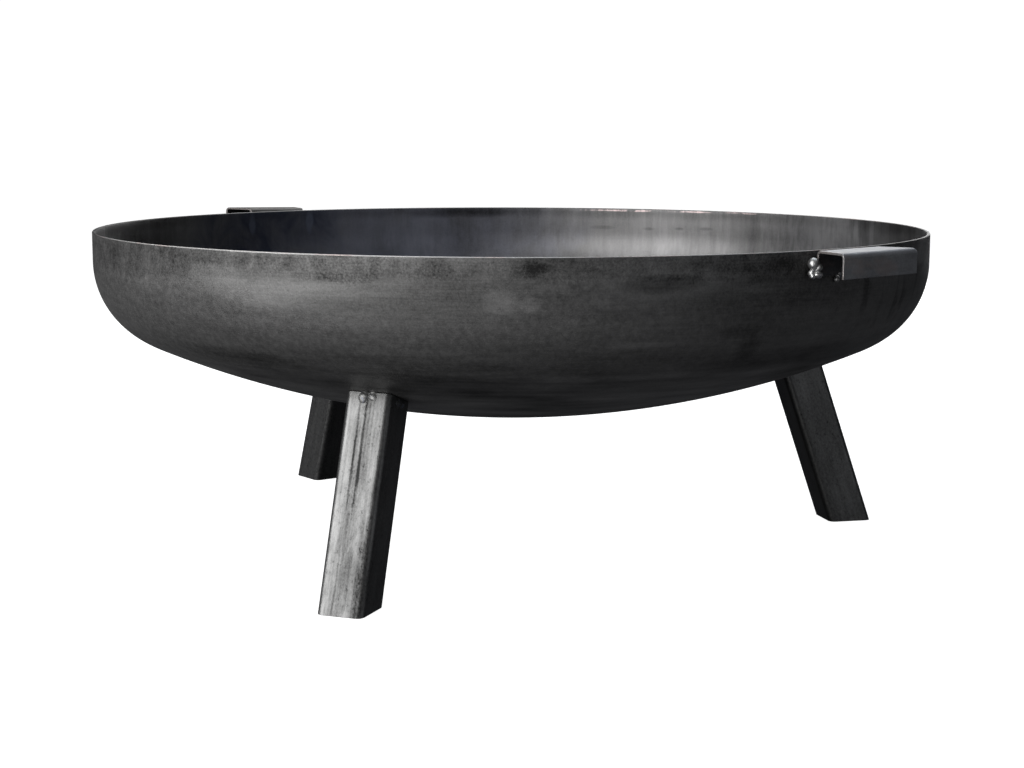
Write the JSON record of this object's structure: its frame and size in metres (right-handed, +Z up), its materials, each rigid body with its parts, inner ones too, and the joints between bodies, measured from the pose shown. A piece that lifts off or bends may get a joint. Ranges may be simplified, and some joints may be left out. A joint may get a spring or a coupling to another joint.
{
  "type": "fire pit",
  "caption": "Round dished steel fire pit on splayed square-tube legs, with bent-sheet carrying handles welded to the bowl and a loose round log grate that lifts out.",
  "frame": {"origin": "on the ground, under the middle of the bowl", "axes": "+Z up; -Y towards the side that the picture is taken from, +X to the right of it"},
  "size_m": [0.8, 0.8, 0.3042],
  "materials": {
    "bowl_steel": "raw hot-rolled sheet steel with dark mill scale, faint drawn streaks and clouds",
    "tube_steel": "raw square tube, bright drawn mill finish with lengthwise die lines",
    "handle_sheet": "raw bent sheet steel, blue-grey, with bright cut edges",
    "weld_metal": "bare weld beads",
    "grate_steel": "raw round bar steel, dark scale"
  },
  "bodies": {
    "bowl_on_legs": {"fire_bowl": "bowl_steel", "front_leg": "tube_steel", "right_leg": "tube_steel", "rear_leg": "tube_steel", "right_handle": "handle_sheet", "left_handle": "handle_sheet", "front_leg_weld_outer": "weld_metal", "front_leg_weld_inner": "weld_metal", "front_leg_weld_left": "weld_metal", "front_leg_weld_right": "weld_metal", "right_leg_weld_outer": "weld_metal", "right_leg_weld_inner": "weld_metal", "right_leg_weld_left": "weld_metal", "right_leg_weld_right": "weld_metal", "rear_leg_weld_outer": "weld_metal", "rear_leg_weld_inner": "weld_metal", "rear_leg_weld_left": "weld_metal", "rear_leg_weld_right": "weld_metal", "right_handle_weld_near": "weld_metal", "right_handle_weld_far": "weld_metal", "right_handle_weld_under": "weld_metal", "left_handle_weld_near": "weld_metal", "left_handle_weld_far": "weld_metal", "left_handle_weld_under": "weld_metal"},
    "loose_grate": {"grate_ring_back_right": "grate_steel", "grate_ring_back_left": "grate_steel", "grate_ring_front_left": "grate_steel", "grate_ring_front_right": "grate_steel", "grate_cross_bar": "grate_steel", "grate_bar_01": "grate_steel", "grate_bar_02": "grate_steel", "grate_bar_03": "grate_steel", "grate_bar_04": "grate_steel", "grate_bar_05": "grate_steel", "grate_bar_06": "grate_steel", "grate_bar_07": "grate_steel", "grate_bar_08": "grate_steel", "grate_bar_09": "grate_steel", "grate_bar_10": "grate_steel", "grate_bar_11": "grate_steel", "grate_lift_loop_right": "grate_steel", "grate_lift_loop_left": "grate_steel"}
  },
  "joints": [
    {"name": "grate_lift", "type": "slide", "parent": "bowl_on_legs", "child": "loose_grate", "axis": [0, 0, 1], "range_m": [0, 0.25]}
  ]
}
